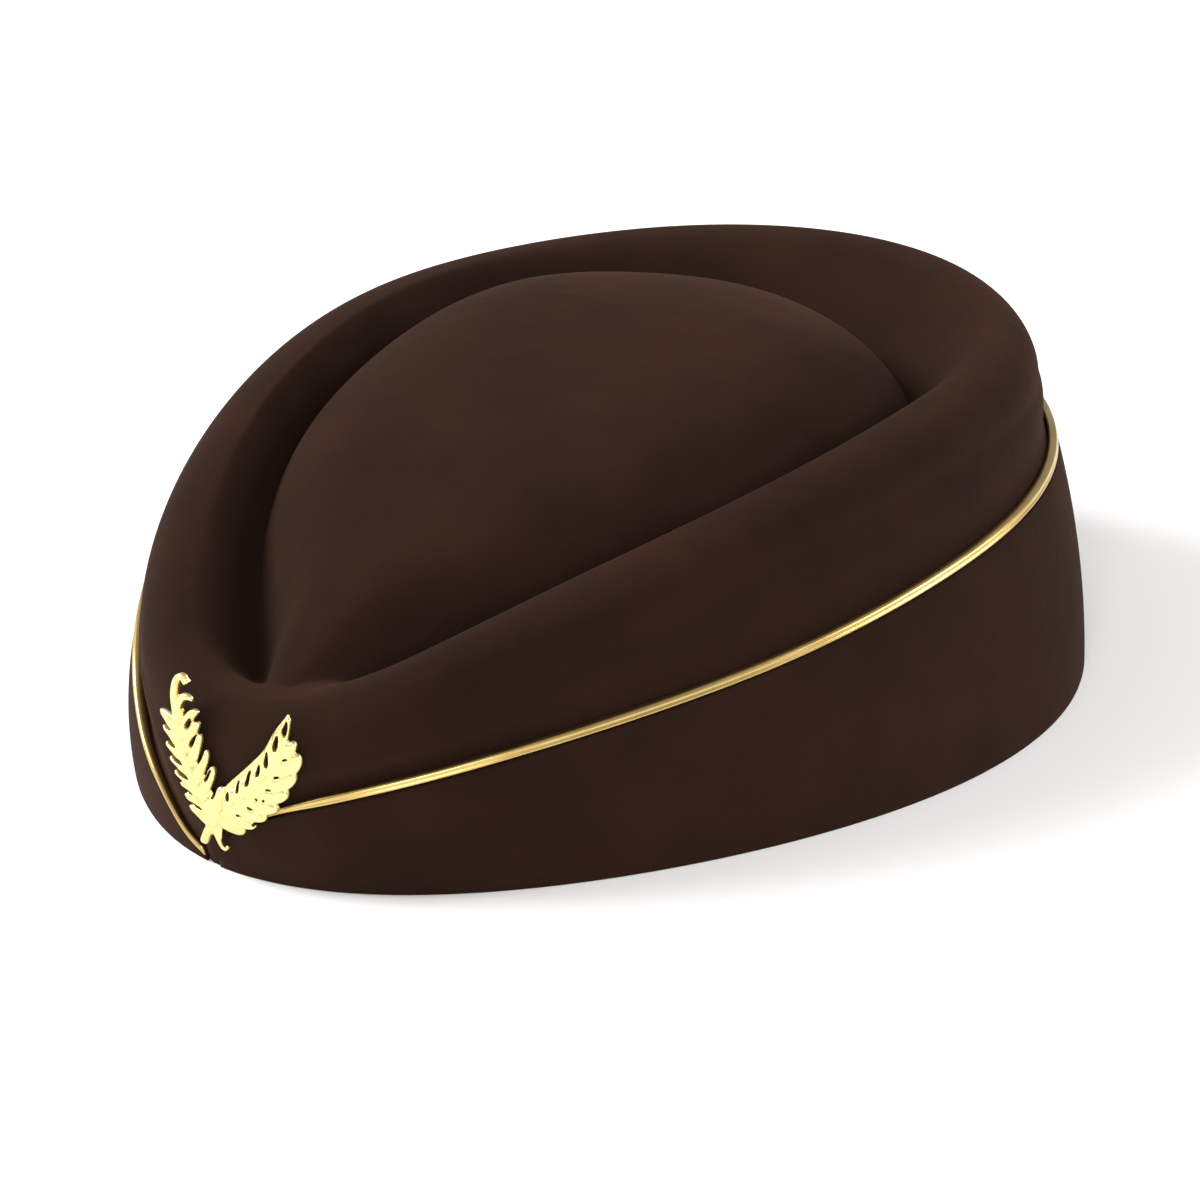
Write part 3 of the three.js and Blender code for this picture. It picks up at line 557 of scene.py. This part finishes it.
def makePiping(material):
    detail = {"stations": 720, "sides": 32}
    turns = np.linspace(piping["first"], piping["last"], detail["stations"])
    untapered = np.clip((turns - piping["last"]) / piping["taper"], 0, 1)
    scale = piping["taperShare"] + (1 - piping["taperShare"]) * untapered
    halfWide = scale * (bandThickness(turns) + piping["proud"]) / 2
    halfTall = scale * piping["height"] / 2
    middle = bandHeight(turns) + band["gap"] + halfTall
    outline = []
    for side in range(detail["sides"]):
        angle = 2 * pi * side / detail["sides"]
        up = middle + halfTall * sin(angle)
        out = np.sign(cos(angle)) * abs(cos(angle)) ** piping["flatness"]
        fromFold = min(angle, 2 * pi - angle) / radians(piping["foldReach"])
        out -= piping["foldDepth"] * np.exp(-fromFold ** 2)
        seat = wallInset(turns, up) + bandThickness(turns)
        outline.append(place(turns, seat - halfWide * (1 + out), up))
    made = sweep("goldRibbonPiping", np.array(outline).transpose(1, 0, 2), material)
    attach(made, root)
    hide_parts("gold_piping")
    return made


# Badge
def makeBadgePlacer():
    # bends the flat badge round the front wall, measured out from the middle along the wall
    height = hat["backHeight"] * float(crestAt(0.0)) / 2
    turns = np.arange(0, 20.5, 0.5)
    wall = place(turns, wallInset(turns, height), height)
    lengths = np.concatenate([[0], np.cumsum(np.linalg.norm(np.diff(wall, axis=0), axis=1))])

    def onBadge(out, up, rise):
        turn = np.sign(out) * np.interp(np.abs(out), lengths, turns)
        lift = badge["standOff"] + badge["edgeLift"] * (out / badge["halfWidth"]) ** 2 + rise
        return place(turn, wallInset(turn, up) - lift, up)
    return onBadge


def branchLine(name):
    # smooth curve through the branch's points with its heading in degrees, by share of its length
    points = np.array(badge[name], float)
    steps = np.linspace(0, len(points) - 1, badge["curveSteps"])
    low = np.clip(steps.astype(int), 0, len(points) - 2)
    part = (steps - low)[:, None]
    padded = np.vstack([2 * points[0] - points[1], points, 2 * points[-1] - points[-2]])
    a, b, c, d = padded[low], padded[low + 1], padded[low + 2], padded[low + 3]
    curve = 0.5 * (2 * b + (c - a) * part + (2 * a - 5 * b + 4 * c - d) * part ** 2
                   + (3 * b - a - 3 * c + d) * part ** 3)
    length = np.concatenate([[0], np.cumsum(np.linalg.norm(np.diff(curve, axis=0), axis=1))])
    length /= length[-1]
    along = np.gradient(curve, axis=0)
    heading = np.unwrap(np.arctan2(along[:, 1], along[:, 0]))
    return lambda share: (np.array([np.interp(share, length, column) for column in curve.T]),
                          float(np.interp(share, length, heading)))


def largestIsland(count, faces):
    # which points belong to the piece with the most points
    island = np.arange(count)
    before = None
    while before is None or (island != before).any():
        before = island.copy()
        np.minimum.at(island, faces, island[faces].min(1)[:, None])
        island = island[island]
    return island == np.bincount(island).argmax()


def makeWreathBadge(material):
    onBadge = makeBadgePlacer()
    points, faces = [], []

    def addBlade(centres, halfWidths, rise):
        # closed blade with a flat back and a softly domed face
        sides, start = badge["bladeSides"], len(points)
        along = np.gradient(centres, axis=0)
        along /= np.linalg.norm(along, axis=1, keepdims=True)
        across = np.column_stack([-along[:, 1], along[:, 0]])
        for centre, side, half in zip(centres, across, halfWidths):
            for k in range(sides):
                angle = 2 * pi * k / sides
                flat = centre + side * half * cos(angle)
                up = 0
                if sin(angle) > 0:
                    dome = rise * min(1, half / badge["domeFrom"])
                    up = badge["back"] / 2 + dome * sin(angle) ** badge["domePower"]
                points.append((flat[0], flat[1], up))
        for face in gridFaces(len(centres), sides, True):
            faces.append(tuple(start + v for v in face))
        faces.append(tuple(start + k for k in reversed(range(sides))))
        faces.append(tuple(start + (len(centres) - 1) * sides + k for k in range(sides)))

    for name in ("left", "right"):
        line = branchLine(name)
        shares = np.linspace(0, 1, badge["stemSteps"])
        halves = np.interp(shares, (0, badge["middle"], 1), badge["stems"][name]) / 2
        addBlade(np.array([line(share)[0] for share in shares]), halves, badge["stemRise"])
        along, left, right = np.array(badge["plate"]).T
        shares = np.linspace(along[0], along[-1], badge["plateSteps"])
        halves = np.interp(shares, along, left if name == "left" else right) / 2
        addBlade(np.array([line(share)[0] for share in shares]), halves, badge["plateRise"])
    for name, count, places, lengths, leans, hooks, widths, taper, blunt in leafRuns:
        line = branchLine(name)
        for part in np.linspace(0, 1, count):
            start, length, lean, width = [pair[0] + (pair[1] - pair[0]) * part
                                          for pair in (places, lengths, leans, widths)]
            foot, heading = line(start)
            s = np.linspace(0, badge["leafEnd"], badge["leafSteps"])
            hook = hooks[0] + (hooks[1] - hooks[0]) * part ** 2
            turn = heading + np.radians(lean * (1 - badge["leanFade"] * s) + hook * s ** 3)
            steps = np.column_stack([np.cos(turn), np.sin(turn)]) * length * (s[1] - s[0])
            centres = foot + np.concatenate([[[0, 0]], np.cumsum(steps[:-1], axis=0)])
            halves = width / 2 * (1 - taper * s) * np.sqrt(1 - s ** blunt)
            addBlade(centres, halves, badge["rise"])
    edge = branchLine("edge")
    shares = np.linspace(0, 1, badge["stemSteps"])
    addBlade(np.array([edge(share)[0] for share in shares]),
             np.interp(shares, (0, 0.5, 1), badge["edgeWidths"]) / 2, badge["plateRise"])
    # the knob at the end of the right branch's stem
    knob = badge["knob"]
    reach = np.linspace(-knob["half"], knob["half"], knob["steps"])[:, None]
    roundness = np.sqrt(1 - np.linspace(-knob["toEnd"], knob["toEnd"], knob["steps"]) ** 2)
    addBlade(np.array(badge["right"][0]) + reach * knob["heading"], knob["half"] * roundness,
             badge["stemRise"])

    def flatObject(name, points, faces):
        mesh = bpy.data.meshes.new(name)
        mesh.from_pydata(points, [], faces)
        flat = bpy.data.objects.new(name, mesh)
        bpy.context.scene.collection.objects.link(flat)
        return flat

    cuts, cutFaces = [], []
    for out, up, length, slant, width in slits:
        start, sides = len(cuts), slitCutter["sides"]
        a = radians(slant)
        for z in (slitCutter["from"], slitCutter["to"]):
            for k in range(sides):
                q = 2 * pi * k / sides
                x, y = length / 2 * cos(q), width / 2 * sin(q) * (1 - slitCutter["taper"] * cos(q))
                cuts.append((out + x * cos(a) - y * sin(a), up + x * sin(a) + y * cos(a), z))
        cutFaces += [tuple(start + v for v in face) for face in gridFaces(2, sides, True)]
        cutFaces += [tuple(start + k for k in reversed(range(sides))),
                     tuple(start + sides + k for k in range(sides))]
    plate = flatObject("badgePlate", points, faces)
    cutter = flatObject("badgeSlits", cuts, cutFaces)
    fuse = plate.modifiers.new("fuse", "REMESH")
    fuse.mode = "VOXEL"
    fuse.voxel_size = badge["voxel"]
    pierce = plate.modifiers.new("pierce", "BOOLEAN")
    pierce.object = cutter
    pierce.operation = "DIFFERENCE"
    pierce.solver = "MANIFOLD"
    again = plate.modifiers.new("again", "REMESH")
    again.mode = "VOXEL"
    again.voxel_size = badge["voxel"]
    soften = plate.modifiers.new("soften", "SMOOTH")
    soften.factor = 0.5
    soften.iterations = 5
    bpy.context.view_layer.update()
    shaped = plate.evaluated_get(bpy.context.evaluated_depsgraph_get())
    cast = bpy.data.meshes.new_from_object(shaped)
    flat = np.empty(len(cast.vertices) * 3)
    cast.vertices.foreach_get("co", flat)
    flat = flat.reshape(-1, 3)
    bent = toMetres(onBadge(flat[:, 0], flat[:, 1], flat[:, 2]))
    castFaces = np.array([tuple(polygon.vertices) for polygon in cast.polygons])
    # the slits cut off a speck or two at the leaves' edges, which are left out
    kept = largestIsland(len(bent), castFaces)
    castFaces = (np.cumsum(kept) - 1)[castFaces[kept[castFaces[:, 0]]]]
    bpy.data.objects.remove(plate)
    bpy.data.objects.remove(cutter)
    made = meshObject("wreathBadge", bent[kept], castFaces, material)
    # the pin through the felt keeps to the solid's own place
    pin = {"height": 12.2, "radius": 0.7, "sides": 24}
    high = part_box("wreath_badge")[1]
    front = onBadge(np.array(0.0), np.array(pin["height"]), np.array(badge["back"] / 2))[1]
    ends = (high[1] / mm, front + hat["shiftY"])
    sides = pin["sides"]
    ring = [2 * pi * k / sides for k in range(sides)]
    shaft = [(pin["radius"] * cos(a) * mm, y * mm, (pin["height"] + pin["radius"] * sin(a)) * mm)
             for y in ends for a in ring]
    shaftFaces = gridFaces(2, sides, True)
    shaftFaces += [tuple(reversed(range(sides))), tuple(range(sides, 2 * sides))]
    post = meshObject("badgePost", shaft, shaftFaces, material)
    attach(made, root)
    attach(post, root)
    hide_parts("wreath_badge")
    return made


# Studio
def makeCamera():
    # the photograph's view, a short telephoto a little above the hat
    view = {"azimuth": 35.175, "elevation": 23.237, "distance": 686.64, "right": 1.8, "up": -22.93,
            "aimHeight": 38.62, "lens": 111.67}
    a, e = radians(view["azimuth"]), radians(view["elevation"])
    back = Vector((sin(a) * cos(e), -cos(a) * cos(e), sin(e)))
    right = Vector((cos(a), sin(a), 0))
    up = back.cross(right)
    aim = Vector((0, hat["shiftY"], view["aimHeight"]))
    spot = back * view["distance"] + right * view["right"] + up * view["up"] + aim
    data = bpy.data.cameras.new("photoCamera")
    data.lens = view["lens"]
    data.sensor_width = 36
    camera = bpy.data.objects.new("photoCamera", data)
    turned = Matrix((right, up, back)).transposed().to_4x4()
    camera.matrix_world = Matrix.Translation(spot * mm) @ turned
    bpy.context.scene.collection.objects.link(camera)
    bpy.context.scene.camera = camera


def makeStudio():
    # white paper, a big soft window light from the wearer's right, two weaker fills and an even sky
    stage = {"size": 8.0, "floor": "#f6f5f3", "fibre": 4.0, "sky": 0.42}
    material, tree = newMaterial("whitePaperSweep")
    coords = addNode(tree, "ShaderNodeTexCoord")
    tone = addNode(tree, "ShaderNodeTexNoise", {"Scale": perMetre(stage["fibre"]), "Detail": 2.0},
                   {"Vector": coords.outputs["Object"]})
    bump = addNode(tree, "ShaderNodeBump", {"Strength": 0.03, "Distance": 0.0002},
                   {"Height": tone.outputs["Fac"]})
    shader = addNode(tree, "ShaderNodeBsdfPrincipled",
                     {"Base Color": linear(stage["floor"]), "Roughness": 0.9},
                     {"Normal": bump.outputs["Normal"]})
    addNode(tree, "ShaderNodeOutputMaterial", None, {"Surface": shader.outputs["BSDF"]})
    half = stage["size"] / 2
    mesh = bpy.data.meshes.new("studioFloor")
    corners = [(-half, -half, 0), (half, -half, 0), (half, half, 0), (-half, half, 0)]
    mesh.from_pydata(corners, [], [(0, 1, 2, 3)])
    mesh.materials.append(material)
    floor = bpy.data.objects.new("studioFloor", mesh)
    bpy.context.scene.collection.objects.link(floor)
    world = bpy.data.worlds.new("studioWorld")
    world.use_nodes = True
    sky = world.node_tree.nodes["Background"]
    sky.inputs["Color"].default_value = (1, 1, 1, 1)
    sky.inputs["Strength"].default_value = stage["sky"]
    bpy.context.scene.world = world
    bpy.context.scene.view_settings.view_transform = "Standard"
    aim = Vector((0, 0, 0.03))
    # name, place, size, power
    lamps = (("windowLeft", (-1.3, -0.6, 1.1), 0.9, 46.0),
             ("softFront", (0.9, -1.4, 0.8), 0.9, 20.0),
             ("softBack", (1.2, 0.9, 0.8), 0.9, 18.0))
    for name, spot, size, power in lamps:
        data = bpy.data.lights.new(name, "AREA")
        data.size = size
        data.energy = power
        lamp = bpy.data.objects.new(name, data)
        lamp.location = spot
        lamp.rotation_euler = (Vector(spot) - aim).to_track_quat("Z", "Y").to_euler()
        bpy.context.scene.collection.objects.link(lamp)


makeCamera()
makeStudio()
print("camera and studio are set")

felt = makeWoolFelt()
gold = makeGoldRibbon()
paleGold = makePaleGold()
brass = makeBrass()
makeFeltBody(felt)
print("felt body is made")
makeSideBand(felt)
print("side band is made")
makePiping(gold)
print("gold piping is made")
makeWreathBadge(paleGold)
print("wreath badge is made")
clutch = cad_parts["badge_clutch"]
clutch.data.materials.clear()
clutch.data.materials.append(brass)
print("clutch has its brass")
